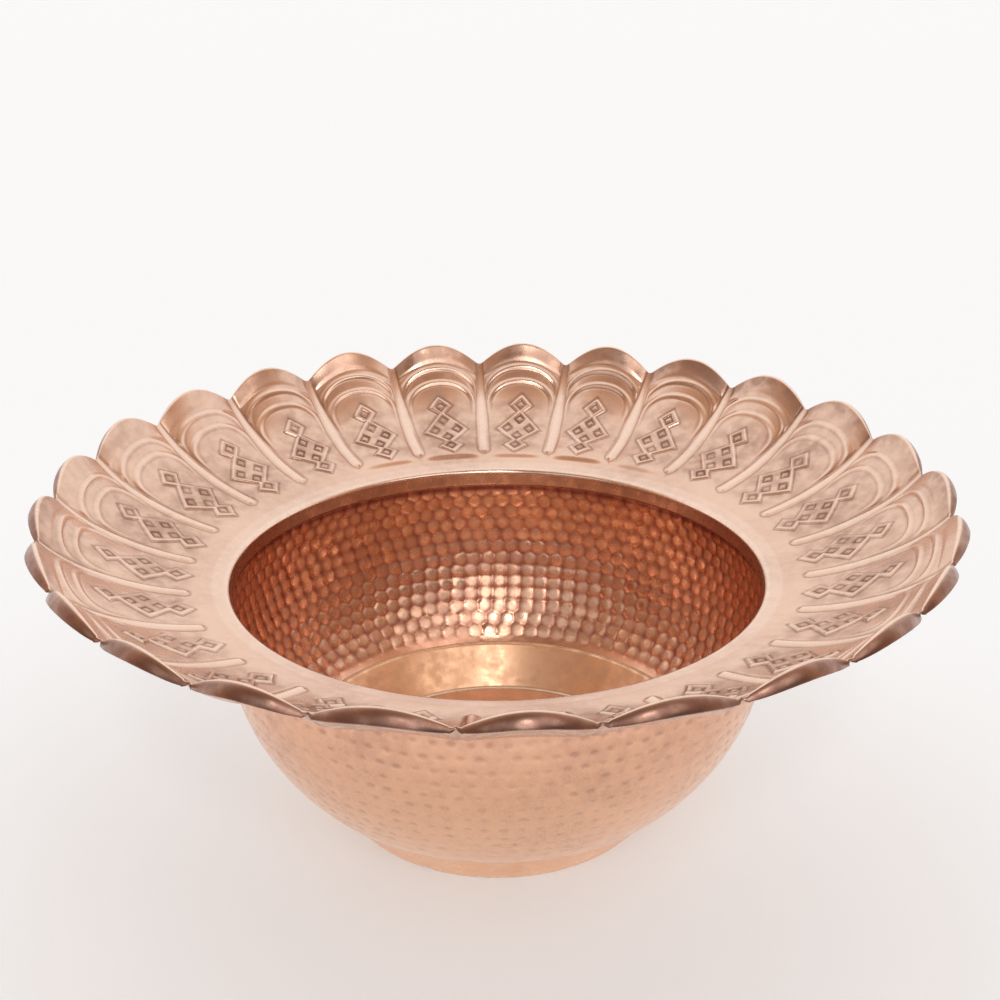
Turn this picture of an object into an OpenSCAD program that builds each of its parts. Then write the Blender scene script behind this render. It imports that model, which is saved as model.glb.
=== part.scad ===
// Hammered copper bowl with a wide petalled rim, on a conical foot ring.
// Its four pieces are raised from thin sheet and brazed at three seams.
// The origin is on the table, on the bowl's axis. Every section is drawn as
// [radius, height] points and turned about that axis.

/* [Sheet and seams] */
// Thickness of the copper sheet
sheet = 1.2; // [0.8:0.1:1.6]
// Gap that the brazing metal fills between two lapped sheets
lap_gap = 0.3; // [0.2:0.05:0.4]
// Radius of the fillet that the brazing metal leaves in a corner
fillet_r = 3; // [2:0.5:3.5]

/* [Mouth and rim] */
// Clear radius inside the collar
mouth_r = 125; // [122:1:126]
// Height of the rolled mouth edge above the table
mouth_h = 123; // [121.5:0.5:125.5]
// How far the collar reaches down into the bowl
collar_depth = 9; // [6:1:12]
// Outer radius of the roll between collar and brim
roll_r = 2.5; // [2.2:0.1:3]
// Rise of the plain brim, in degrees
brim_slope = 11; // [8:1:14]
// Radius at which the brim ends and the petals begin
petal_root_r = 143; // [138:1:148]
// Radius of curvature of the upturned petals, seen in section
dish_r = 107.5; // [101:0.5:114]

/* [Petals] */
// Number of petals round the rim
petals = 25; // [20:1:30]
// Radius of the petals' tips
tip_r = 212; // [209.5:0.5:215.5]
// Radius of the notches between petals
notch_r = 206; // [203:0.5:208]
// Turn of the first petal about the axis, in degrees
first_petal = 85.8; // [0:0.1:90]
// Height of the raised ribs between petals
rib_h = 1.4; // [0.8:0.1:2]
// Width of a rib at its round inner end
rib_root_w = 5.4; // [4:0.2:6]
// Width of a rib at the notch
rib_notch_w = 3.6; // [2.6:0.2:4]

/* [Bowl] */
// Radius of curvature of the hammered wall, outside
wall_r = 104.2; // [104:0.1:105]
// Distance of that curve's centre from the axis
wall_centre_r = 25; // [24.8:0.1:25.4]
// Height of that curve's centre
wall_centre_h = 99.2; // [99:0.1:99.8]
// Height of the wall's lower edge, where it laps over the foot ring
wall_bottom_h = 24; // [23.5:0.1:24.5]

/* [Foot] */
// Radius of the foot ring at the table
foot_r = 75.6; // [75.2:0.1:75.8]
// Rise of the foot ring's wall, in degrees
foot_slope = 50.3; // [50.1:0.1:50.6]
// Height of the foot ring's upper lip, inside the bowl
lip_h = 30; // [28:0.5:30.5]
// Height of the floor above the table
floor_h = 10; // [8:0.5:14]
// Gap round the floor, which the brazing metal closes
floor_fit = 0.1; // [0.05:0.05:0.3]

/* [Hidden] */
$fn = 200;
copper_pale = [0.89, 0.68, 0.55];
copper_red = [0.74, 0.42, 0.30];
copper_foot = [0.85, 0.60, 0.44];
brass_seam = [0.80, 0.66, 0.40];

// Rim: the roll's centre, and the point where the flat brim leaves the roll
roll_c = [mouth_r + roll_r, mouth_h - roll_r];
brim_start = on_arc(roll_c, roll_r, 90 + brim_slope);
petal_root = [petal_root_r, brim_start.y + (petal_root_r - brim_start.x) * tan(brim_slope)];
dish_c = petal_root + dish_r * [-sin(brim_slope), cos(brim_slope)];
// The dish is drawn a little past the tips, and the petals' outline trims it
trim_margin = 2;
dish_end = asin((tip_r + trim_margin - dish_c.x) / dish_r);
// Height of the upright prisms that do the trimming, above all of the rim
trim_h = dish_c.y;
// The ribs' round ends stand just outside the petals' root
rib_root_r = petal_root_r + 1;
// Angle between two petals
pitch = 360 / petals;
// Petal tips are arcs of a circle through two notches and one tip
half_chord = notch_r * sin(pitch / 2);
tip_sag = tip_r - notch_r * cos(pitch / 2);
petal_arc_r = (half_chord * half_chord + tip_sag * tip_sag) / (2 * tip_sag);

// Bowl: its neck stands upright round the collar, with room for the seam, and
// its edge is level with the middle of the roll, or just above
neck_r = mouth_r + sheet + lap_gap;
neck_rise = 0.3;
neck_top = roll_c.y + neck_rise;
wall_c = [wall_centre_r, wall_centre_h];
wall_ri = wall_r - sheet;
wall_top_a = acos((neck_r - wall_c.x) / wall_ri);
wall_bottom_a = asin((wall_bottom_h - wall_c.y) / wall_r);

// Seams: depth of the brazing metal round the neck, and how far the metal in
// the lower lap stays from the wall's edge and from the foot ring's lip
neck_lap = 3;
edge_margin = 1.4;
lip_margin = 0.5;

// Points along each curved outline
roll_steps = 10;
dish_steps = 18;
wall_steps = 28;
lap_steps = 6;
fillet_steps = 8;

// Radii of the foot ring's two faces, and of the wall's inner face, at a height
function foot_out(h) = foot_r + h / tan(foot_slope);
function foot_in(h) = foot_out(h) - sheet / sin(foot_slope);
function wall_in(h) = wall_c.x + sqrt(wall_ri * wall_ri - (h - wall_c.y) * (h - wall_c.y));

// A point on a circle, and an arc as a list of points
function on_arc(c, r, a) = c + r * [cos(a), sin(a)];
function arc(c, r, from, to, steps) =
    [for (i = [0:steps]) on_arc(c, r, from + (to - from) * i / steps)];

// Height of the rim's underside at a radius on the plain brim
function brim_under(r) = brim_start.y + (r - brim_start.x) * tan(brim_slope) - sheet / cos(brim_slope);

// Section of the rim's sheet: collar, roll, brim and dish
module rim_section() {
    polygon(concat(
        [[mouth_r, mouth_h - collar_depth]],
        arc(roll_c, roll_r, 180, 90 + brim_slope, roll_steps),
        arc(dish_c, dish_r, brim_slope - 90, dish_end - 90, dish_steps),
        arc(dish_c, dish_r + sheet, dish_end - 90, brim_slope - 90, dish_steps),
        arc(roll_c, roll_r - sheet, 90 + brim_slope, 180, roll_steps),
        [[mouth_r + sheet, mouth_h - collar_depth]]
    ));
}

// Section of the band that the ribs are cut from: it starts in the middle of
// the sheet and stands above its face
module rib_section() {
    polygon(concat(
        arc(dish_c, dish_r - rib_h, brim_slope - 90, dish_end - 90, dish_steps),
        arc(dish_c, dish_r + sheet / 2, dish_end - 90, brim_slope - 90, dish_steps)
    ));
}

// Outline of all the petals, seen from above
module petal_outline() {
    circle(r = notch_r * cos(pitch / 2));
    for (i = [0:petals - 1])
        rotate(first_petal + i * pitch)
            translate([tip_r - petal_arc_r, 0])
                circle(r = petal_arc_r);
}

// Outline of one rib, seen from above: round at the root, narrower at the notch
module rib_outline() {
    polygon([
        [rib_root_r, -rib_root_w / 2],
        [tip_r, -rib_notch_w / 2],
        [tip_r, rib_notch_w / 2],
        [rib_root_r, rib_root_w / 2]
    ]);
    translate([rib_root_r, 0])
        circle(d = rib_root_w, $fn = 48);
}

// One sheet: a collar that seats in the bowl's mouth, a rolled edge, a plain
// brim and the upturned petals with a raised rib between each two
module rim() {
    color(copper_pale)
        intersection() {
            linear_extrude(height = trim_h) petal_outline();
            union() {
                rotate_extrude() rim_section();
                intersection() {
                    rotate_extrude() rib_section();
                    linear_extrude(height = trim_h)
                        for (i = [0:petals - 1])
                            rotate(first_petal + (i + 0.5) * pitch)
                                rib_outline();
                }
            }
        }
}

// The hammered wall, open at both ends, with its upright neck
module bowl() {
    color(copper_red)
        rotate_extrude()
            polygon(concat(
                [[neck_r, neck_top]],
                arc(wall_c, wall_ri, wall_top_a, wall_bottom_a, wall_steps),
                arc(wall_c, wall_r, wall_bottom_a, wall_top_a, wall_steps),
                [[neck_r + sheet, neck_top]]
            ));
}

// A smooth cone that shows as the foot outside and as the lowest band inside
module foot_ring() {
    color(copper_foot)
        rotate_extrude()
            polygon([
                [foot_in(0), 0],
                [foot_out(0), 0],
                [foot_out(lip_h), lip_h],
                [foot_in(lip_h), lip_h]
            ]);
}

// The floor, wedged in the cone above the table
module floor_disc() {
    color(copper_foot)
        rotate_extrude()
            polygon([
                [0, floor_h - sheet],
                [foot_in(floor_h - sheet) - floor_fit, floor_h - sheet],
                [foot_in(floor_h) - floor_fit, floor_h],
                [0, floor_h]
            ]);
}

// Brazing metal round the top of the bowl's neck: it fills the lap against the
// collar and leaves a fillet under the brim
module rim_braze() {
    outer_r = neck_r + sheet;
    lap_bottom = neck_top - neck_lap;
    corner_a = 90 + brim_slope;
    fillet_leg = fillet_r / tan(corner_a / 2);
    corner = [outer_r, brim_under(outer_r)];
    fillet_c = corner + [fillet_r, -fillet_leg];
    color(brass_seam)
        rotate_extrude()
            polygon(concat(
                [[mouth_r + sheet, lap_bottom]],
                arc(roll_c, roll_r - sheet, 180, corner_a, roll_steps),
                arc(fillet_c, fillet_r, corner_a, 180, fillet_steps),
                [[outer_r, neck_top], [neck_r, neck_top], [neck_r, lap_bottom]]
            ));
}

// Brazing metal in the lap between the bowl's lower edge and the foot ring
module foot_braze() {
    low = wall_bottom_h + edge_margin;
    high = lip_h - lip_margin;
    depth = high - low;
    color(brass_seam)
        rotate_extrude()
            polygon(concat(
                [for (i = [0:lap_steps]) let (h = low + depth * i / lap_steps) [wall_in(h), h]],
                [[foot_out(high), high], [foot_out(low), low]]
            ));
}

// The fillet of brazing metal round the edge of the floor
module floor_braze() {
    corner = [foot_in(floor_h), floor_h];
    leg = fillet_r * tan(foot_slope / 2);
    fillet_c = corner + [-leg, fillet_r];
    color(brass_seam)
        rotate_extrude()
            polygon(concat(
                [corner],
                arc(fillet_c, fillet_r, foot_slope - 90, -90, fillet_steps)
            ));
}

rim();
bowl();
foot_ring();
floor_disc();
rim_braze();
foot_braze();
floor_braze();
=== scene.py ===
"""Looks of a hammered copper bowl with a petalled rim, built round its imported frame.

Each sheet is a closed mesh made of rings of points, one ring after another round
its section, so that hammering, embossing and wear are real shape. All sizes are
in metres, and the frame gives the radii and heights that the pieces have to meet.
"""
import math

import bpy
import numpy as np
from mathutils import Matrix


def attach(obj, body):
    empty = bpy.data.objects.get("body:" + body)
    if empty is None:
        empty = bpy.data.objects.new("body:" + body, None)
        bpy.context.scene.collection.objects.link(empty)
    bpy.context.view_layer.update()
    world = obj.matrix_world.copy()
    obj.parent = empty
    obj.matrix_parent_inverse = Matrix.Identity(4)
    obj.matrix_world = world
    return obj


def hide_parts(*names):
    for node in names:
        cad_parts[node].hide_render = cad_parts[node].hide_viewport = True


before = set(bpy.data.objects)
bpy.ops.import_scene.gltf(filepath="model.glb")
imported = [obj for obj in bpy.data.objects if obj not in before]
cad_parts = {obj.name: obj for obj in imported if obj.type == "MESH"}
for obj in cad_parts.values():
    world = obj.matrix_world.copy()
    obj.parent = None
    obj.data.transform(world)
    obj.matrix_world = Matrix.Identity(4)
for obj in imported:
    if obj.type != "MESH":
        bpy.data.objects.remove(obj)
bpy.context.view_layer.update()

MM = 0.001
rng = np.random.default_rng(25)


def ring_size(node):
    """Smallest and largest radius, then lowest and highest point, of a CAD node."""
    points = np.array([v.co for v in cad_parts[node].data.vertices])
    radius = np.hypot(points[:, 0], points[:, 1])
    return radius.min(), radius.max(), points[:, 2].min(), points[:, 2].max()


# Sheet and seams
SHEET = 1.2 * MM
LAP_GAP = 0.3 * MM
FILLET_R = 3 * MM

# Rim, as on the CAD model: roll, plain brim, and petals on one upturned arc
mouth_r, tip_r, collar_bottom, tip_h = ring_size("rim")
ROLL_R = 2.5 * MM
BRIM_SLOPE = math.radians(11)
PETAL_ROOT_R = 143 * MM
CAD_DISH_R = 107.5 * MM
NOTCH_R = 206 * MM
PETALS = 25
PITCH = 2 * math.pi / PETALS
FIRST_PETAL = math.radians(85.8)

tip_slope = math.asin(math.sin(BRIM_SLOPE) + (tip_r - PETAL_ROOT_R) / CAD_DISH_R)
root_h = tip_h - CAD_DISH_R * (math.cos(BRIM_SLOPE) - math.cos(tip_slope))
brim_start = np.array([mouth_r + ROLL_R * (1 - math.sin(BRIM_SLOPE)), 0])
brim_start[1] = root_h - (PETAL_ROOT_R - brim_start[0]) * math.tan(BRIM_SLOPE)
roll_centre = brim_start + ROLL_R * np.array([math.sin(BRIM_SLOPE), -math.cos(BRIM_SLOPE)])
# Petal tips are arcs of a circle through two notches and one tip
half_chord = NOTCH_R * math.sin(PITCH / 2)
tip_sag = tip_r - NOTCH_R * math.cos(PITCH / 2)
petal_arc_r = (half_chord ** 2 + tip_sag ** 2) / (2 * tip_sag)

# Bowl and foot, as on the CAD model
_, bowl_wide_r, wall_bottom, neck_top = ring_size("bowl")
WALL_R = 104.2 * MM
wall_centre = np.array([bowl_wide_r - WALL_R, 99.2 * MM])
neck_r = mouth_r + SHEET + LAP_GAP
_, lip_out_r, foot_bottom, lip_h = ring_size("foot_ring")
FOOT_SLOPE = math.radians(50.3)
foot_r = lip_out_r - lip_h / math.tan(FOOT_SLOPE)
_, floor_r, floor_under, floor_h = ring_size("floor_disc")


# ---------------------------------------------------------------- small tools

def smooth(low, high, x):
    """0 below low, 1 above high, and a smooth rise between."""
    t = np.clip((x - low) / (high - low), 0, 1)
    return t * t * (3 - 2 * t)


def bump(distance, width):
    """1 at no distance, falling off like a bell."""
    return np.exp(-(distance / width) ** 2)


def uneven(angle, along, waves, longest, seed):
    """Soft unevenness from -1 to 1, which closes round the turn. longest is in metres."""
    draws = np.random.default_rng(seed)
    total = np.zeros(np.broadcast(angle, along).shape)
    for _ in range(waves):
        turns = draws.integers(2, 14)
        rise = draws.uniform(-1, 1) * 2 * math.pi / longest
        total += np.sin(turns * angle + rise * along + draws.uniform(0, 2 * math.pi))
    return total / waves


def full_turn(columns):
    """Angles of that many columns of points round the axis."""
    return np.arange(columns) / columns * 2 * math.pi


def arc_points(centre, radius, start, end, steps):
    """Points [radius, height] along an arc, with angles in radians."""
    turn = np.linspace(start, end, steps + 1)
    return np.stack([centre[0] + radius * np.cos(turn), centre[1] + radius * np.sin(turn)], 1)


def line_points(start, end, steps):
    """Points [radius, height] along a straight line."""
    return np.linspace(start, end, steps + 1)


def turned(radius, height, angle):
    """Points at those angles. radius and height may be one number, or one an angle."""
    radius, height, _ = np.broadcast_arrays(radius, height, angle)
    return np.stack([radius * np.cos(angle), radius * np.sin(angle), height], -1)


def bridge(a, count_a, b, count_b):
    """Faces between ring a and ring b, which start at those vertex numbers. A ring
    may have twice the points of the other, or be one point on the axis."""
    if count_a == count_b:
        i = np.arange(count_a)
        j = (i + 1) % count_a
        return np.stack([a + i, b + i, b + j, a + j], 1), np.empty((0, 3), int)
    if 1 in (count_a, count_b):
        i = np.arange(max(count_a, count_b))
        j = (i + 1) % len(i)
        tip = np.full_like(i, a if count_a == 1 else b)
        fan = [tip, b + i, b + j] if count_a == 1 else [a + i, tip, a + j]
        return np.empty((0, 4), int), np.stack(fan, 1)
    fine_first = count_a > count_b
    fine, coarse, count = (a, b, count_b) if fine_first else (b, a, count_a)
    i = np.arange(count)
    j = (i + 1) % count
    left = fine + 2 * i
    middle = left + 1
    right = fine + 2 * j
    triangles = [[left, coarse + i, middle],
                 [middle, coarse + i, coarse + j],
                 [middle, coarse + j, right]]
    if not fine_first:
        triangles = [t[::-1] for t in triangles]
    return np.empty((0, 4), int), np.concatenate([np.stack(t, 1) for t in triangles])


class Skin:
    """One sheet's rings of points, each with three marks which the material reads: tarnish with
    painted shade, wear with painted sheen, and film with painted shade. A mark is one number
    for a ring, or one for each point."""

    def __init__(self):
        self.rings = []
        self.marks = {"recess": [], "wear": [], "film": []}

    def add(self, points, recess, wear, film):
        self.rings.append(points)
        for mark, values in zip(self.marks.values(), (recess, wear, film)):
            mark.append(np.broadcast_to(values, len(points)).astype(float))

    def mesh(self, name, closed):
        """The skin as a mesh. closed joins the last ring to the first."""
        counts = [len(ring) for ring in self.rings]
        starts = np.concatenate([[0], np.cumsum(counts)]).astype(int)
        pairs = [(k, k + 1) for k in range(len(counts) - 1)]
        if closed:
            pairs.append((len(counts) - 1, 0))
        faces = [bridge(starts[p], counts[p], starts[q], counts[q]) for p, q in pairs]
        quads = np.concatenate([f[0] for f in faces])
        triangles = np.concatenate([f[1] for f in faces])
        corners = np.concatenate([quads.ravel(), triangles.ravel()])
        sizes = np.concatenate([np.full(len(quads), 4), np.full(len(triangles), 3)])

        mesh = bpy.data.meshes.new(name)
        mesh.vertices.add(starts[-1])
        mesh.vertices.foreach_set("co", np.concatenate(self.rings).astype(np.float32).ravel())
        mesh.loops.add(len(corners))
        mesh.loops.foreach_set("vertex_index", corners.astype(np.int32))
        mesh.polygons.add(len(sizes))
        mesh.polygons.foreach_set("loop_start", (np.cumsum(sizes) - sizes).astype(np.int32))
        mesh.update(calc_edges=True)
        mesh.shade_smooth()
        for mark, values in self.marks.items():
            layer = mesh.attributes.new(mark, "FLOAT", "POINT")
            layer.data.foreach_set("value", np.concatenate(values).astype(np.float32))
        return mesh


def show(mesh, material):
    """The mesh as an object in the scene."""
    mesh.materials.append(material)
    thing = bpy.data.objects.new(mesh.name, mesh)
    bpy.context.scene.collection.objects.link(thing)
    return thing


def sheet_piece(name, skin, node, material, closed=True):
    """One piece of the bowl, in place of a CAD node."""
    piece = show(skin.mesh(name, closed), material)
    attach(piece, "root")
    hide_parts(node)


# ------------------------------------------------------------------ materials

class Recipe:
    """A new material, with short ways of adding nodes to it. Each returns its output."""

    def __init__(self, name):
        self.material = bpy.data.materials.new(name)
        self.material.use_nodes = True
        self.tree = self.material.node_tree
        self.shader = self.tree.nodes["Principled BSDF"]
        self.place = self.tree.nodes.new("ShaderNodeTexCoord").outputs["Object"]

    def give(self, value, socket):
        """Feeds a socket from another socket, or sets it to a colour or a number."""
        if isinstance(value, bpy.types.NodeSocket):
            self.tree.links.new(value, socket)
        elif isinstance(value, tuple):
            socket.default_value = (*value, 1)
        else:
            socket.default_value = value

    def noise(self, scale, detail, stretch=(1, 1, 1)):
        mapping = self.tree.nodes.new("ShaderNodeMapping")
        mapping.inputs["Scale"].default_value = stretch
        self.give(self.place, mapping.inputs["Vector"])
        node = self.tree.nodes.new("ShaderNodeTexNoise")
        node.inputs["Scale"].default_value = scale
        node.inputs["Detail"].default_value = detail
        self.give(mapping.outputs["Vector"], node.inputs["Vector"])
        return node.outputs["Fac"]

    def fit(self, value, low, high, to_low, to_high):
        """The value, moved from the range low to high to another range."""
        node = self.tree.nodes.new("ShaderNodeMapRange")
        node.inputs["From Min"].default_value = low
        node.inputs["From Max"].default_value = high
        node.inputs["To Min"].default_value = to_low
        node.inputs["To Max"].default_value = to_high
        self.give(value, node.inputs["Value"])
        return node.outputs["Result"]

    def combine(self, operation, a, b):
        """ADD, SUBTRACT or MULTIPLY, kept between 0 and 1."""
        node = self.tree.nodes.new("ShaderNodeMath")
        node.operation = operation
        node.use_clamp = True
        self.give(a, node.inputs[0])
        self.give(b, node.inputs[1])
        return node.outputs["Value"]

    def mix(self, share, a, b):
        """Colour a, with that share of colour b."""
        node = self.tree.nodes.new("ShaderNodeMix")
        node.data_type = "RGBA"
        self.give(share, node.inputs["Factor"])
        colour_a, colour_b = (s for s in node.inputs if s.name in ("A", "B") and s.type == "RGBA")
        self.give(a, colour_a)
        self.give(b, colour_b)
        return next(s for s in node.outputs if s.type == "RGBA")

    def mark(self, name):
        """One of the marks on the mesh."""
        node = self.tree.nodes.new("ShaderNodeAttribute")
        node.attribute_name = name
        return node.outputs["Fac"]

    def relief(self, height, strength, distance):
        node = self.tree.nodes.new("ShaderNodeBump")
        node.inputs["Strength"].default_value = strength
        node.inputs["Distance"].default_value = distance
        self.give(height, node.inputs["Height"])
        return node


def copper(name, clean, worn_and_sheen, tarnish_and_shade, roughness, mottle=0.5, grain=0.12):
    """Copper sheet. Its colours are clean, worn and tarnished copper; the worn and tarnished
    colours also paint sheen and shade. The three marks on the mesh say where tarnish sits and
    where handling polishes, and in places where shade and sheen are painted."""
    recipe = Recipe(name)
    shader = recipe.shader
    shader.inputs["Metallic"].default_value = 1.0
    broad = recipe.noise(22, 4)
    fine = recipe.noise(160, 5)
    specks = recipe.noise(700, 2)
    recess, wear, film = [recipe.mark(m) for m in ("recess", "wear", "film")]

    # Colour: clean copper, mottled by a thin film of tarnish, dark in the recesses and where shade is
    # painted, light where worn and where sheen is painted
    patch = recipe.combine("MULTIPLY", recipe.fit(broad, 0.42, 0.66, 0, mottle),
                       recipe.fit(fine, 0.3, 0.62, 0.35, 1))
    cloud = recipe.combine("MULTIPLY", film, recipe.fit(fine, 0.36, 0.6, 0.25, 1))
    patch = recipe.combine("ADD", patch, cloud)
    thin_tarnish_and_shade = tuple(0.55 * c + 0.45 * t for c, t in zip(clean, tarnish_and_shade))
    colour = recipe.mix(patch, clean, thin_tarnish_and_shade)
    dark = recipe.combine("MULTIPLY", recess, recipe.fit(fine, 0.25, 0.6, 0.7, 1))
    colour = recipe.mix(dark, colour, tarnish_and_shade)
    bright = recipe.combine("MULTIPLY", wear, recipe.fit(specks, 0.3, 0.6, 0.6, 1))
    colour = recipe.mix(bright, colour, worn_and_sheen)
    recipe.give(colour, shader.inputs["Base Color"])

    # Roughness: duller where the film is, brighter where the sheet is handled
    dull = recipe.fit(fine, 0.3, 0.7, roughness - 0.05, roughness + 0.06)
    dull = recipe.combine("ADD", dull, recipe.combine("MULTIPLY", patch, 0.12))
    dull = recipe.combine("ADD", dull, recipe.combine("MULTIPLY", recess, 0.04))
    dull = recipe.combine("SUBTRACT", dull, recipe.combine("MULTIPLY", wear, 0.08))
    recipe.give(dull, shader.inputs["Roughness"])

    # Relief too small for the mesh: soft pitting, and fine polishing scratches
    pits = recipe.relief(fine, grain, 0.4 * MM)
    scratches = recipe.relief(recipe.noise(260, 3, stretch=(9, 1, 1)), 0.15, 0.05 * MM)
    recipe.give(pits.outputs["Normal"], scratches.inputs["Normal"])
    recipe.give(scratches.outputs["Normal"], shader.inputs["Normal"])
    return recipe.material


# The dark tarnish colours also paint shade: on the lip, the collar, under the collar and in the foot's
# nicks.
RIM_COPPER = copper("rim_copper", clean=(0.86, 0.58, 0.44), worn_and_sheen=(0.96, 0.73, 0.60),
                    tarnish_and_shade=(0.20, 0.082, 0.06), roughness=0.23, grain=0.04)
BOWL_COPPER = copper("bowl_copper", clean=(0.88, 0.485, 0.325), worn_and_sheen=(0.97, 0.71, 0.50),
                     tarnish_and_shade=(0.25, 0.085, 0.075), roughness=0.22)
FOOT_COPPER = copper("foot_copper", clean=(0.99, 0.585, 0.35), worn_and_sheen=(1.0, 0.69, 0.47),
                     tarnish_and_shade=(0.34, 0.15, 0.08), roughness=0.31, mottle=0.35)
FLOOR_COPPER = copper("floor_copper", clean=(0.97, 0.70, 0.52), worn_and_sheen=(0.98, 0.74, 0.58),
                      tarnish_and_shade=(0.33, 0.13, 0.08), roughness=0.34, mottle=0.3)
BRAZE = copper("braze", clean=(0.86, 0.62, 0.44), worn_and_sheen=(0.95, 0.76, 0.58),
               tarnish_and_shade=(0.28, 0.15, 0.07), roughness=0.32, grain=0.3)


# ------------------------------------------------------------------------ rim

COLUMNS = 72  # points across one petal's upper face; the rest of the rim has half
BRIM_RINGS, FACE_RINGS, UNDER_RINGS = 6, 160, 72
FIELD_START = -9 * MM  # where the fine rings begin, inside the petals' root
# The petals rise a little more steeply than the CAD model's arc, and their tips are
# turned over outwards: a tight fold along the crest, then a rounded lip hanging down
DISH_R = 98.4 * MM
FOLD_R, LIP_R = 1.5 * MM, 10.5 * MM
FOLD_END, LIP_END = math.radians(-35), math.radians(-68)
FOLD_STEPS, LIP_STEPS = 9, 16
LIP_LEAST = 0.12  # size of the lip at a notch, as a share of its size at a tip
LIP_REACH = 5.9 * MM  # how far fold and lip stand out from the dish, at a tip
LIP_SHADE = 0.85  # the lip's hanging face is painted dark: a painted reflection of the dark studio in front
LEAN = 3.2 * MM  # the petals stand higher at the back than at the sides, and lower in front
LEAN_FROM, LEAN_OVER = 135 * MM, 72 * MM  # where that lean begins, and the width it grows over
VALLEY = 9.0 * MM  # how far the sheet falls beside a rib, at the notch
RIPPLE = 0.12 * MM  # unevenness of the sheet

RIB_H, RIB_GROOVE = 1.0 * MM, 0.3 * MM
RIB_START = 3 * MM
# Half width of a rib, at shares of the way from the root to the fold
RIB_HALVES = ((0, 2.5 * MM), (0.22, 2.8 * MM), (0.45, 2.7 * MM), (0.7, 1.7 * MM), (1, 1.2 * MM))
ARCH_H, ARCH_GROOVE = 0.5 * MM, 0.2 * MM
PLATE_H, PLATE_GROOVE = 0.65 * MM, 0.3 * MM
PUNCH_DEPTH, CELL_DEPTH = 0.7 * MM, 0.1 * MM  # a square's outline, and its floor
STEP_H = 1.9 * MM  # the petals' swell at the root, at the back of the rim only
BORDER_DEPTH, BORDER_WIDTH = 0.35 * MM, 9.5 * MM  # a soft groove inside the fold

# Two raised arches: top and springing as distances from the root, half width, roundness
ARCHES = ((64.1 * MM, 46 * MM, 21.5 * MM, 3.2),
          (55.2 * MM, 38 * MM, 19 * MM, 3))
ARCH_SCALE = 22.5 * MM  # half of a petal's width where those half widths are measured
# The raised plate is three diamonds: place along the petal, half width, half length
PLATE_MID = 22.1 * MM
DIAMONDS = ((6.5 * MM, 6.5 * MM, 7 * MM),
            (PLATE_MID, 12.4 * MM, 13.3 * MM),
            (39.4 * MM, 6.3 * MM, 6.7 * MM))
# Punched squares: place across the petal, place along it
CELL_ACROSS, CELL_ALONG = 6.0 * MM, 6.6 * MM
PUNCHES = ((0, 6.7 * MM),
           (0, PLATE_MID - CELL_ALONG),
           (-CELL_ACROSS, PLATE_MID),
           (CELL_ACROSS, PLATE_MID),
           (0, PLATE_MID + CELL_ALONG),
           (0, 39.2 * MM))
PUNCH_ACROSS, PUNCH_ALONG = 2.7 * MM, 3.05 * MM

# The hand-made rim is a little irregular: notches, petal lengths and the chaser's aim
notch_turn = (np.arange(PETALS + 1) - 0.5) * PITCH + FIRST_PETAL
notch_turn[:-1] += np.radians(rng.uniform(-0.35, 0.35, PETALS))
notch_turn[-1] = notch_turn[0] + 2 * math.pi
petal_short = rng.uniform(0, 0.9, PETALS) * MM
petal_swell = rng.uniform(0.8, 1.15, PETALS)
petal_swell *= smooth(0.35, 0.9, np.sin(FIRST_PETAL + np.arange(PETALS) * PITCH))
plate_across = rng.uniform(-0.7, 0.7, PETALS) * MM
plate_along = rng.uniform(-0.8, 0.8, PETALS) * MM
plate_turn = np.radians(rng.uniform(-3.5, 3.5, PETALS))
punch_aim = rng.uniform(-0.35, 0.35, (PETALS, len(PUNCHES), 2)) * MM
punch_blow = rng.uniform(0.7, 1.15, (PETALS, len(PUNCHES)))
tip_darkening = rng.uniform(0, 0.7, PETALS) ** 2
tip_darkening[[21, 22, 23, 24]] = 0.6, 0.8, 1.0, 0.4  # four neighbours are darker at the tips

# Every column of points round the rim: its angle, its petal, its turn from the middle
# of that petal, and a share that is 0 in the middle of the petal and 1 on its ribs
phase = np.arange(PETALS * COLUMNS) / COLUMNS
rim_angle = np.interp(phase, np.arange(PETALS + 1), notch_turn)
coarse_angle = rim_angle[::2]
petal = phase.astype(int)
petal_turn = (phase - petal - 0.5) * PITCH
aside = (2 * petal_turn / PITCH) ** 2
lip_size = LIP_LEAST + (1 - LIP_LEAST) * (1 - aside) ** 0.75


def fold_start():
    """Distance from the root to the start of the fold, in every column."""
    offset = tip_r - petal_arc_r
    radius = offset * np.cos(petal_turn) + np.sqrt(petal_arc_r ** 2 - (offset * np.sin(petal_turn)) ** 2)
    radius -= LIP_REACH * lip_size + petal_short[petal] * np.cos(petal_turn / PITCH * math.pi)
    slope = np.arcsin(math.sin(BRIM_SLOPE) + (radius - PETAL_ROOT_R) / DISH_R)
    return DISH_R * (slope - BRIM_SLOPE)


petal_end = fold_start()
brim_along = -(PETAL_ROOT_R - brim_start[0]) / math.cos(BRIM_SLOPE)
brim_rings = np.linspace(brim_along, FIELD_START, BRIM_RINGS)


def ripple(along):
    return RIPPLE * uneven(rim_angle, along, 14, 40 * MM, seed=3)


def dish(along):
    """Radius, height and slope of the rim's face at a distance along it from the root."""
    out, back = np.maximum(along, 0), np.minimum(along, 0)
    slope = BRIM_SLOPE + out / DISH_R
    radius = PETAL_ROOT_R + DISH_R * (np.sin(slope) - math.sin(BRIM_SLOPE))
    height = root_h + DISH_R * (math.cos(BRIM_SLOPE) - np.cos(slope))
    return radius + back * math.cos(BRIM_SLOPE), height + back * math.sin(BRIM_SLOPE), slope


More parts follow.
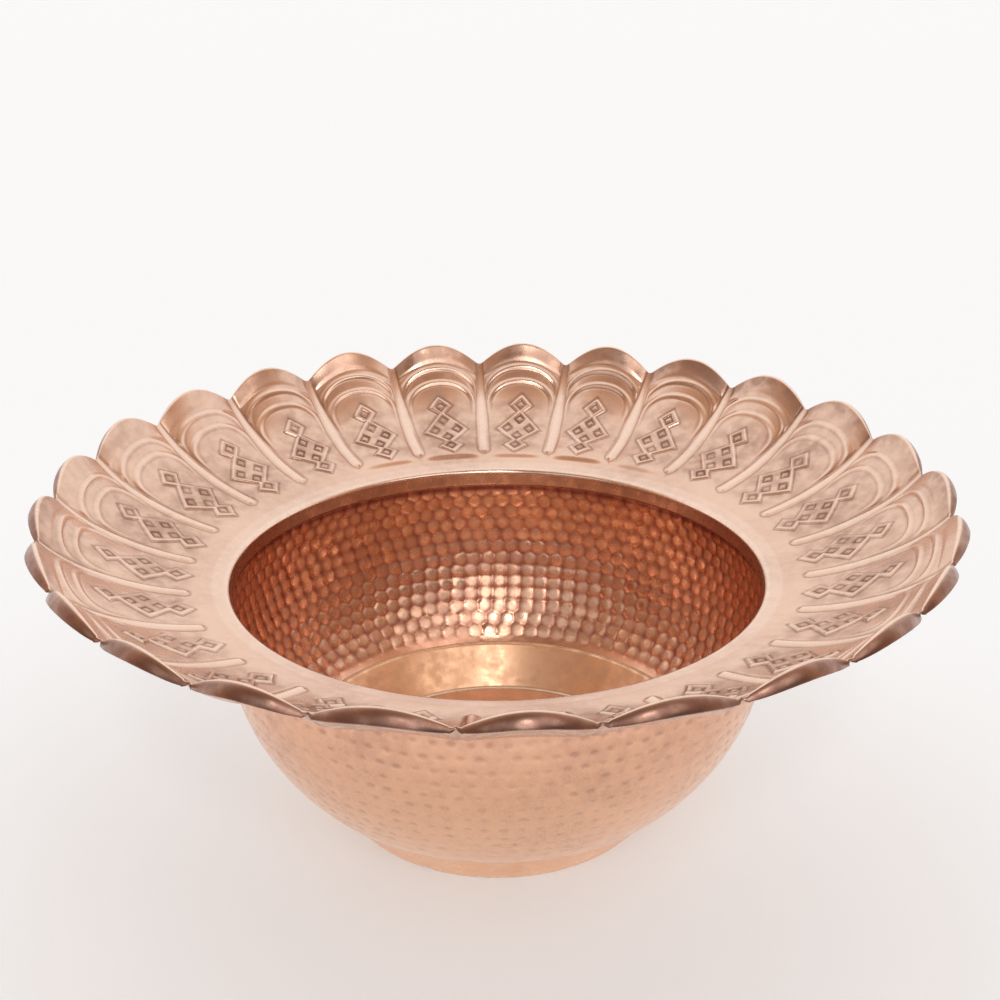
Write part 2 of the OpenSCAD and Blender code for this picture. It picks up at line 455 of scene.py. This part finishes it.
def warp(radius):
    """Height that the dish gains at the back, loses in front and loses beside each rib,
    so that each petal is a shallow pillow."""
    out = np.maximum((radius - PETAL_ROOT_R) / (NOTCH_R - PETAL_ROOT_R), 0)
    lean = np.maximum((radius - LEAN_FROM) / LEAN_OVER, 0) ** 1.3
    return LEAN * np.sin(rim_angle) * lean * (1 - 0.8 * aside) - VALLEY * out ** 2 * aside


def face_point(along, lift):
    """Radius and height in every column, lifted off the rim's face along its upright."""
    radius, height, slope = dish(along)
    return radius - lift * np.sin(slope), height + warp(radius) + lift * np.cos(slope)


def every_other(radius, height):
    return turned(radius, height, rim_angle)[::2]


def ribs(along, radius):
    """The ribs' tops, the groove round each, and the field that lies clear of them."""
    places, halves = zip(*RIB_HALVES)
    half = np.interp(along / petal_end, places, halves)
    from_rib = radius * (PITCH / 2 - np.abs(petal_turn))
    far = np.hypot(from_rib, np.minimum(along - RIB_START, 0))
    top = 1 - smooth(half - 2.0 * MM, half + 0.5 * MM, far)
    groove = bump(far - half - 0.8 * MM, 0.5 * MM) * smooth(-3 * MM, 0, along)
    field = smooth(half + 0.8 * MM, half + 1.8 * MM, far)
    return top, groove, field


def arches(along, field):
    """The crests of the arches, and the grooves on both sides of each."""
    crest, groove = np.zeros_like(along), np.zeros_like(along)
    for top, springing, half_width, roundness in ARCHES:
        rise = np.maximum(along - springing, 0) / (top - springing)
        side = np.abs(petal_turn) * 2 / PITCH * ARCH_SCALE / half_width
        reach = (side ** roundness + rise ** roundness) ** (1 / roundness)
        far = (reach - 1) * (top - springing)
        shown = field * smooth(springing - 8 * MM, springing + 4 * MM, along)
        crest += bump(far, 1.3 * MM) * shown
        groove += (0.4 * bump(far - 2.1 * MM, 0.5 * MM) + bump(far + 2.1 * MM, 0.6 * MM)) * shown
    return crest, groove


def diamond(across, along, centre, half_width, half_length):
    """Signed distance to a diamond's outline, negative inside."""
    scale = half_width * half_length / math.hypot(half_width, half_length)
    return (np.abs(across) / half_width + np.abs(along - centre) / half_length - 1) * scale


def plate(along, radius):
    """Signed distance to the plate's outline, the squares' punched outlines, and their
    floors."""
    across = radius * petal_turn
    lean = plate_turn[petal]
    x = across - plate_across[petal] - lean * (along - DIAMONDS[1][0])
    y = along - plate_along[petal] + lean * across
    outline = np.minimum.reduce([diamond(x, y, *d) for d in DIAMONDS])
    punched, cells = np.zeros_like(along), np.zeros_like(along)
    for number, (aim_x, aim_y) in enumerate(PUNCHES):
        miss_x, miss_y = punch_aim[petal, number].T
        square = diamond(x - aim_x - miss_x, y - miss_y, aim_y, PUNCH_ACROSS, PUNCH_ALONG)
        punched = np.maximum(punched, bump(square, 0.55 * MM) * punch_blow[petal, number])
        cells = np.maximum(cells, 1 - smooth(-0.2 * MM, 0.4 * MM, square))
    return outline, punched, cells


def relief(along):
    """What embossing does to the petals' upper face: the height it adds, the part of that
    which shows on the underside too, and the marks of tarnish, wear and film."""
    radius = dish(along)[0]
    rib, rib_groove, field = ribs(along, radius)
    arch, arch_groove = arches(along, field)
    outline, punched, cells = plate(along, radius)
    plate_top = 1 - smooth(-0.45 * MM, 0.35 * MM, outline)
    plate_groove = bump(outline - 0.7 * MM, 0.45 * MM)
    plate_edge = bump(outline + 0.5 * MM, 0.4 * MM)
    near_plate = bump(np.maximum(outline, 0), 7 * MM)
    step = smooth(-6.5 * MM, -2 * MM, along) * (1 - smooth(2 * MM, 26 * MM, along))
    step *= petal_swell[petal] * (1 - aside ** 2)
    border = bump(along - petal_end + BORDER_WIDTH, 1.6 * MM) * field
    tip_dark = tip_darkening[petal] * bump(along - petal_end, 7 * MM)

    deep = RIB_H * rib + ARCH_H * arch + STEP_H * step - BORDER_DEPTH * border
    fine = PLATE_H * plate_top - PUNCH_DEPTH * punched - CELL_DEPTH * cells
    fine -= RIB_GROOVE * rib_groove + ARCH_GROOVE * arch_groove + PLATE_GROOVE * plate_groove
    recess = 0.6 * rib_groove + 0.3 * arch_groove + 0.6 * plate_groove
    recess += 0.88 * punched + 0.1 * cells + 0.4 * tip_dark
    wear = np.clip(0.7 * rib + 0.5 * arch + 0.8 * plate_edge * (1 - punched), 0, 1)
    film = field * smooth(-3 * MM, 6 * MM, along) * (0.2 + 0.45 * near_plate) + tip_dark
    film = np.clip(film * (1 - wear), 0, 1)
    return deep + fine, deep - 0.5 * ARCH_H * arch, np.clip(recess, 0, 1), wear, film


def add_mouth(skin):
    """Collar, roll and plain brim, going up and out."""
    # The collar is painted darker: a painted reflection of the bowl's dark inside.
    for r, z in line_points((mouth_r, collar_bottom), (mouth_r, roll_centre[1]), 7):
        wobble = 0.1 * MM * uneven(coarse_angle, z, 9, 30 * MM, seed=5)
        skin.add(turned(r - wobble, z, coarse_angle), recess=0.35, wear=0, film=0.3)
    for r, z in arc_points(roll_centre, ROLL_R, math.pi, math.pi / 2 + BRIM_SLOPE, 9)[1:]:
        skin.add(turned(r, z, coarse_angle), recess=0, wear=0.8, film=0.3)
    for along in brim_rings[1:-1]:
        points = every_other(*face_point(along, 0.6 * ripple(along)))
        skin.add(points, recess=0, wear=0.35, film=0.05)


def add_petals(skin):
    """Upper face of the petals, from the field's start to the fold."""
    for share in np.linspace(0, 1, FACE_RINGS):
        along = FIELD_START + share * (petal_end - FIELD_START)
        lift, _, recess, wear, film = relief(along)
        skin.add(turned(*face_point(along, lift + ripple(along)), rim_angle), recess, wear, film)


def lip_section():
    """Radius, height and slope, step by step, as the sheet turns from the dish's slope
    over the fold and down the lip until it hangs."""
    lift = relief(petal_end)[0] + ripple(petal_end)
    point = face_point(petal_end, lift)
    before = face_point(petal_end - 1 * MM, lift)
    start = np.arctan2(point[1] - before[1], point[0] - before[0])
    fold = (FOLD_R, np.linspace(start, np.full_like(start, FOLD_END), FOLD_STEPS + 1))
    lip = (LIP_R, np.linspace(FOLD_END, LIP_END, LIP_STEPS + 1))
    section = [(*point, start)]
    for bend_r, slopes in (fold, lip):
        for first, second in zip(slopes[:-1], slopes[1:]):
            middle = (first + second) / 2
            length = bend_r * lip_size * (first - second)
            r, z, _ = section[-1]
            slope = np.broadcast_to(second, len(start))
            section.append((r + length * np.cos(middle), z + length * np.sin(middle), slope))
    return section


def add_lip(skin):
    """Fold and lip, the free edge, and back up the inside of the lip."""
    section = lip_section()
    for number, (r, z, slope) in enumerate(section[1:]):
        dent = 0.1 * MM * lip_size * uneven(rim_angle, number * 0.4 * MM, 12, 20 * MM, seed=8)
        # The hanging face is painted dark: a painted reflection of the dark studio in front.
        hanging = smooth(0.35, 0.75, -slope)
        crest = bump(slope - math.radians(10), 0.5)
        skin.add(turned(r - dent, z - dent, rim_angle), LIP_SHADE * hanging, 0.9 * crest, 0.1)
    thick = SHEET * (0.4 + 0.6 * lip_size)
    r, z, _ = section[-1]
    for share in (0.3, 0.7):
        points = turned(r - share * thick, z - 0.25 * MM * lip_size, rim_angle)
        skin.add(points, recess=0, wear=0.8, film=0)
    for r, z, slope in section[:0:-3]:
        points = every_other(r + thick * np.sin(slope), z - thick * np.cos(slope))
        skin.add(points, recess=0.35, wear=0.1, film=0.3)


def add_underside(skin):
    """Underside of petals, brim and roll, then down the outside of the collar."""
    for share in np.linspace(1, 0, UNDER_RINGS):
        along = FIELD_START + share * (petal_end - FIELD_START)
        under = relief(along)[1]
        hollow = np.clip(under / (0.8 * RIB_H), 0, 1)[::2]
        points = every_other(*face_point(along, under - SHEET + ripple(along)))
        skin.add(points, recess=0.12 + 0.3 * hollow, wear=0.1, film=0.3)
    for along in brim_rings[-2::-1]:
        skin.add(every_other(*face_point(along, -SHEET)), recess=0.15, wear=0.1, film=0.3)
    roll = arc_points(roll_centre, ROLL_R - SHEET, math.pi / 2 + BRIM_SLOPE, math.pi, 6)
    outer_r = mouth_r + SHEET
    collar = line_points((outer_r, roll_centre[1]), (outer_r, collar_bottom), 5)
    for r, z in np.concatenate([roll[1:], collar[1:]]):
        skin.add(turned(r, z, coarse_angle), recess=0.1, wear=0.1, film=0.2)


def make_rim():
    skin = Skin()
    add_mouth(skin)
    add_petals(skin)
    add_lip(skin)
    add_underside(skin)
    sheet_piece("petalled_rim", skin, "rim", RIM_COPPER)


# ----------------------------------------------------------------------- bowl

BOWL_COLUMNS, BOWL_RINGS = 960, 128
MARK_PITCH = 7.8 * MM  # between hammer marks in one row
ROW_PITCH = 6.8 * MM
BUMP_R, BUMP_H = 4.0 * MM, 0.38 * MM  # inside, where each blow stands out
DIMPLE_R, DIMPLE_H = 2.8 * MM, 0.32 * MM  # outside, where the punch struck
DIMPLE_SHAPE = 0.77  # below 1, a dimple is longer across than upwards
LAP_SHADOW = 2.2 * MM  # painted shadow: the dark line in the corner under the collar


def hammer_marks(angle, wall_turn):
    """Heights of the bumps inside and depths of the dimples outside, where wall_turn
    is the turn about the wall's centre of curvature."""
    first, last = wall_turn.min(), wall_turn.max()
    row_turn = ROW_PITCH / WALL_R
    count = int((last - first) / row_turn) + 2
    draws = np.random.default_rng(42)
    start = 0.5 * (np.arange(count) % 2) + draws.uniform(-0.1, 0.1, count)
    most = int(2 * math.pi * bowl_wide_r / MARK_PITCH) + 2
    miss_x, miss_y = draws.uniform(-0.45, 0.45, (2, count, most)) * MM
    force = draws.uniform(0.8, 1.15, (count, most))
    place = (wall_turn - first) / row_turn
    inside = np.full(angle.shape, -1.0)
    outside = np.zeros(angle.shape)
    for step in (-1, 0, 1):
        row = np.clip(np.round(place).astype(int) + step, 0, count - 1)
        row_place = first + row * row_turn
        radius = wall_centre[0] + WALL_R * np.cos(row_place)
        marks = np.round(2 * math.pi * radius / MARK_PITCH)
        spot = angle * marks / (2 * math.pi) - start[row]
        for side in (np.floor(spot), np.floor(spot) + 1):
            number = (side % marks).astype(int)
            x = (spot - side) * 2 * math.pi / marks * radius - miss_x[row, number]
            y = (wall_turn - row_place) * WALL_R - miss_y[row, number]
            blow = force[row, number]
            far = (x * x + y * y) / BUMP_R ** 2
            inside = np.maximum(inside, blow * (1 - far ** 1.8))
            long_far = ((DIMPLE_SHAPE * x) ** 2 + (y / DIMPLE_SHAPE) ** 2) / DIMPLE_R ** 2
            deep = np.clip(1 - long_far, 0, 1) ** 1.5
            outside = np.maximum(outside, (1.8 * blow - 0.8) * deep)
    return inside, outside


def make_bowl():
    """The wall's inner face going up, its neck, and its outer face coming down."""
    low = math.asin((wall_bottom - wall_centre[1]) / WALL_R)
    high = math.acos((neck_r - wall_centre[0]) / (WALL_R - SHEET))
    angle = full_turn(BOWL_COLUMNS)
    wall_turn, around = np.meshgrid(np.linspace(low, high, BOWL_RINGS), angle, indexing="ij")
    along = wall_turn * WALL_R
    height = wall_centre[1] + WALL_R * np.sin(wall_turn)

    def wall_rings(lift_in, radius):
        r = wall_centre[0] + (radius - lift_in) * np.cos(wall_turn)
        z = wall_centre[1] + (radius - lift_in) * np.sin(wall_turn)
        return turned(r, z, around)

    # The hammering fades out above the foot's lip, under the collar and at the neck
    inside, outside = hammer_marks(around, wall_turn)
    shown_in = smooth(lip_h, lip_h + 4 * MM, height)
    shown_in *= 1 - smooth(collar_bottom - 4 * MM, collar_bottom, height)
    shown_out = smooth(wall_bottom + 4 * MM, wall_bottom + 13 * MM, height)
    shown_out *= 1 - smooth(neck_top - 6 * MM, neck_top, height)
    dent = 0.15 * MM * uneven(around, along, 16, 60 * MM, seed=11)
    inner = wall_rings(BUMP_H * inside * shown_in + dent, WALL_R - SHEET)
    outer = wall_rings(DIMPLE_H * outside * shown_out + 0.5 * dent, WALL_R)

    # Random blotches of darker tone.
    blotches = smooth(0.1, 0.8, uneven(around, along, 10, 50 * MM, seed=17))
    grime = smooth(-0.3, 0.3, uneven(around, along, 12, 70 * MM, seed=19))
    # Toward the neck the inside gets darker blotches and the outside a darker film: painted shade under
    # the rim. Low on the outside, more wear paints a sheen: a painted reflection of the lit table.
    neck_shade = smooth(wall_bottom + 5 * MM, neck_top, height)
    # A painted shadow in the corner under the collar.
    lap = bump(height - collar_bottom + LAP_SHADOW, LAP_SHADOW)
    inner_recess_and_shade = 0.6 * np.clip(0.55 - inside, 0, 1) * shown_in + lap + 0.4 * neck_shade * blotches
    inner_wear = 0.9 * np.clip(inside - 0.5, 0, 1) * shown_in * (1 - lap)
    inner_film = 0.85 * shown_in + 0.3 * blotches
    outer_recess = (0.22 + 0.3 * grime) * smooth(0.3, 1, outside) * shown_out
    outer_wear_and_sheen = 0.6 - 0.5 * neck_shade
    outer_film_and_shade = 0.1 + 0.3 * neck_shade + 0.12 * blotches

    skin = Skin()
    for ring in zip(inner, inner_recess_and_shade, inner_wear, inner_film):
        skin.add(*ring)
    neck = line_points((neck_r, inner[-1, 0, 2]), (neck_r, neck_top), 3)
    outer_r = neck_r + SHEET
    outer_neck = line_points((outer_r, neck_top), (outer_r, neck[1, 1]), 2)
    for r, z in np.concatenate([neck[1:], outer_neck]):
        skin.add(turned(r, z, angle), recess=0.2, wear=0.2, film=0.2)
    for ring in zip(outer[::-1], outer_recess[::-1], outer_wear_and_sheen[::-1], outer_film_and_shade[::-1]):
        skin.add(*ring)
    sheet_piece("hammered_bowl", skin, "bowl", BOWL_COPPER)


# ------------------------------------------------------------- foot and seams

# Dents on the foot's lower edge: turn in degrees, width and depth
NICKS = ((244, 3.8 * MM, 1.3 * MM),
         (263, 2.4 * MM, 0.9 * MM),
         (37, 2.6 * MM, 0.7 * MM),
         (151, 2.2 * MM, 0.5 * MM))
FOOT_COLUMNS, FLOOR_COLUMNS = 720, 360
FOOT_EDGE_R = 0.35 * MM
LIP_THIN = 0.85 * SHEET  # how much the foot's lip is planished thin inside the bowl
FLOOR_SAG = 0.15 * MM


def foot_out(height):
    return foot_r + height / math.tan(FOOT_SLOPE)


def foot_in(height):
    return foot_out(height) - SHEET / math.sin(FOOT_SLOPE)


def foot_section():
    """Lower edge, up the inner face, over the lip and down the outer face."""
    top, low = lip_h - FOOT_EDGE_R, FOOT_EDGE_R
    outside = line_points((foot_out(low), low), (foot_out(top), top), 26)
    outside[-4:, 0] -= LIP_THIN * np.linspace(0.3, 1, 4)
    inside = line_points((foot_in(top), top), (foot_in(low), low), 26)
    bottom = [(foot_in(0) + FOOT_EDGE_R, foot_bottom), (foot_out(0) - FOOT_EDGE_R, foot_bottom)]
    return np.concatenate([outside, inside, bottom])[::-1]


def make_foot():
    """The cone, with a dull inner face and a nicked, polished lower edge."""
    angle = full_turn(FOOT_COLUMNS)
    skin = Skin()
    for r, z in foot_section():
        wobble = 0.12 * MM * uneven(angle, z, 12, 45 * MM, seed=23) * smooth(0, 4 * MM, z)
        # dark paints shade into the nicks: painted shade in the dents.
        rise, dark = np.zeros_like(angle), np.zeros_like(angle)
        for degrees, width, depth in NICKS:
            far = foot_r * (np.mod(angle - math.radians(degrees) + math.pi, 2 * math.pi) - math.pi)
            nick = bump(far, width / 2) * (1 - smooth(0, 2.5 * MM, z))
            rise += depth * nick
            dark = np.maximum(dark, nick)
        wear = 0.65 if z < 2 * MM else 0.25
        film = 0.7 if r < foot_out(z) - LIP_THIN else 0.1
        skin.add(turned(r + wobble, z + rise, angle), dark, wear, film)
    sheet_piece("conical_foot", skin, "foot_ring", FOOT_COPPER)


def make_floor():
    """A gently uneven disc: its upper face going out, its underside coming in."""
    angle = full_turn(FLOOR_COLUMNS)
    radii = np.linspace(0, floor_r - 0.1 * MM, 60)[1:]
    edge_slant = (floor_h - floor_under) / math.tan(FOOT_SLOPE)
    rings = [np.array([[0, 0, floor_h - FLOOR_SAG]])]
    for r in radii:
        dent = 0.12 * MM * uneven(angle, r, 10, 35 * MM, seed=31) - FLOOR_SAG
        rings.append(turned(r, floor_h + dent * (1 - smooth(0.9, 1, r / floor_r)), angle))
    for r in radii[::-1] - edge_slant:
        if r > 1 * MM:
            rings.append(turned(r, floor_under, angle))
    rings.append(np.array([[0, 0, floor_under]]))
    skin = Skin()
    for points in rings:
        skin.add(points, recess=0, wear=0.2, film=0.3)
    sheet_piece("floor_plate", skin, "floor_disc", FLOOR_COPPER, closed=False)


def make_seam(name, section, node, shrink):
    """A ring of brazing metal that has run unevenly into its corner."""
    angle = full_turn(FOOT_COLUMNS)
    flow = 1 - shrink * (0.5 + 0.5 * uneven(angle, 0, 18, 30 * MM, seed=41))
    centre_r, centre_h = np.mean(section, 0)
    skin = Skin()
    for r, z in section:
        points = turned(centre_r + (r - centre_r) * flow, centre_h + (z - centre_h) * flow, angle)
        skin.add(points, recess=0.15, wear=0.35, film=0.1)
    sheet_piece(name, skin, node, BRAZE)


def make_rim_seam():
    """Fills the lap of collar and neck, and leaves a fillet under the brim."""
    corner_turn = math.pi / 2 + BRIM_SLOPE
    outer_r = neck_r + SHEET
    brim_under = brim_start[1] - SHEET / math.cos(BRIM_SLOPE)
    brim_under += (outer_r - brim_start[0]) * math.tan(BRIM_SLOPE)
    fillet = (outer_r + FILLET_R, brim_under - FILLET_R / math.tan(corner_turn / 2))
    lap_bottom = ring_size("rim_braze")[2]
    lap = [(outer_r, neck_top), (neck_r, neck_top), (neck_r, lap_bottom), (mouth_r + SHEET, lap_bottom)]
    roll = arc_points(roll_centre, ROLL_R - SHEET, math.pi, corner_turn, 8)
    hollow = arc_points(fillet, FILLET_R, corner_turn, math.pi, 12)
    make_seam("rim_seam", np.concatenate([lap, roll, hollow]), "rim_braze", shrink=0.02)


def make_foot_seam():
    """Fills the lap between the bowl's lower edge and the foot ring."""
    low, high = ring_size("foot_braze")[2:]
    heights = np.linspace(high, low, 6)
    wall_in = wall_centre[0] + np.sqrt((WALL_R - SHEET) ** 2 - (heights - wall_centre[1]) ** 2)
    foot = [(foot_out(low), low), (foot_out(high), high)]
    section = np.concatenate([foot, np.stack([wall_in, heights], 1)])
    make_seam("foot_seam", section, "foot_braze", shrink=0.05)


def make_floor_seam():
    """A fillet in the corner round the floor."""
    corner = np.array([foot_in(floor_h), floor_h])
    fillet = corner + np.array([-FILLET_R * math.tan(FOOT_SLOPE / 2), FILLET_R])
    hollow = arc_points(fillet, FILLET_R, -math.pi / 2, FOOT_SLOPE - math.pi / 2, 8)
    make_seam("floor_seam", np.concatenate([hollow, [corner]]), "floor_braze", shrink=0.12)


make_rim()
make_bowl()
make_foot()
make_floor()
make_rim_seam()
make_foot_seam()
make_floor_seam()


# ------------------------------------------------------------ stage and light

TABLE_HALF = 30  # metres, so that the table's edge is out of sight
# Lamps: power, apparent size, rise above the table, and turn about Z, in degrees
LAMPS = {
    "key": (0.2, 9, 46, 2),
    "window": (0.36, 30, 32, 3),
    "right_window": (0.27, 32, 42, 38),
    "left_window": (0.16, 34, 30, -36),
}
# Colours of the studio, from the front (0) to the back (1) of the sphere
STUDIO = (
    (0.00, (0.055, 0.037, 0.03)),
    (0.12, (0.08, 0.05, 0.04)),
    (0.22, (0.20, 0.12, 0.08)),
    (0.33, (0.42, 0.26, 0.17)),
    (0.49, (0.74, 0.54, 0.41)),
    (0.54, (1.0, 1.0, 1.0)),
)
BACKDROP = (0.93, 0.93, 0.93)  # what the camera sees of the studio itself


def make_stage():
    """A plain pale table under the bowl, which glows a little so that it stays pale."""
    far = TABLE_HALF
    corners = [(-far, -far, 0), (far, -far, 0), (far, far, 0), (-far, far, 0)]
    mesh = bpy.data.meshes.new("stage_floor")
    mesh.from_pydata(corners, [], [(0, 1, 2, 3)])
    material = bpy.data.materials.new("stage_white")
    material.use_nodes = True
    shader = material.node_tree.nodes["Principled BSDF"]
    shader.inputs["Base Color"].default_value = (0.74, 0.78, 0.81, 1)
    shader.inputs["Emission Color"].default_value = (1, 1, 1, 1)
    shader.inputs["Emission Strength"].default_value = 0.31
    shader.inputs["Roughness"].default_value = 0.9
    shader.inputs["Specular IOR Level"].default_value = 0.1
    show(mesh, material)


def make_world():
    """A bright studio behind and above the bowl, and a darker, warmer one in front.
    The bowl mirrors it, and the backdrop itself is plain and pale."""
    world = bpy.data.worlds.new("studio")
    bpy.context.scene.world = world
    world.use_nodes = True
    nodes, links = world.node_tree.nodes, world.node_tree.links
    axes = nodes.new("ShaderNodeSeparateXYZ")
    links.new(nodes.new("ShaderNodeTexCoord").outputs["Generated"], axes.inputs["Vector"])
    shift = nodes.new("ShaderNodeMapRange")
    shift.inputs["From Min"].default_value = -1
    shift.inputs["From Max"].default_value = 1
    links.new(axes.outputs["Y"], shift.inputs["Value"])
    ramp = nodes.new("ShaderNodeValToRGB")
    stops = ramp.color_ramp.elements
    while len(stops) < len(STUDIO):
        stops.new(1)
    for stop, (place, colour) in zip(stops, STUDIO):
        stop.position = place
        stop.color = (*colour, 1)
    links.new(shift.outputs["Result"], ramp.inputs["Fac"])
    seen = nodes.new("ShaderNodeMix")
    seen.data_type = "RGBA"
    studio, backdrop = (s for s in seen.inputs if s.name in ("A", "B") and s.type == "RGBA")
    links.new(nodes.new("ShaderNodeLightPath").outputs["Is Camera Ray"], seen.inputs["Factor"])
    links.new(ramp.outputs["Color"], studio)
    backdrop.default_value = (*BACKDROP, 1)
    blended = next(s for s in seen.outputs if s.type == "RGBA")
    links.new(blended, nodes["Background"].inputs["Color"])
    nodes["Background"].inputs["Strength"].default_value = 1.0


def make_lamp(name, power, size, rise, side):
    """A soft lamp above and behind the viewer."""
    light = bpy.data.lights.new(name, "SUN")
    light.energy = power
    light.angle = math.radians(size)
    lamp = bpy.data.objects.new(name, light)
    lamp.rotation_euler = (math.radians(90 - rise), 0, math.radians(side))
    bpy.context.scene.collection.objects.link(lamp)


def make_camera():
    """Looks down at the bowl from in front, as a person at the table would."""
    camera = bpy.data.objects.new("camera", bpy.data.cameras.new("camera"))
    camera.data.lens = 54.17
    camera.data.sensor_width = 36
    camera.data.dof.use_dof = False
    camera.data.clip_end = 100
    camera.location = (0, -0.6476, 0.4245)
    camera.rotation_euler = [math.radians(a) for a in (67.525, 0.353, -0.291)]
    bpy.context.scene.collection.objects.link(camera)
    bpy.context.scene.camera = camera


make_stage()
make_world()
for name, settings in LAMPS.items():
    make_lamp(name, *settings)
make_camera()
bpy.context.scene.view_settings.view_transform = "Standard"
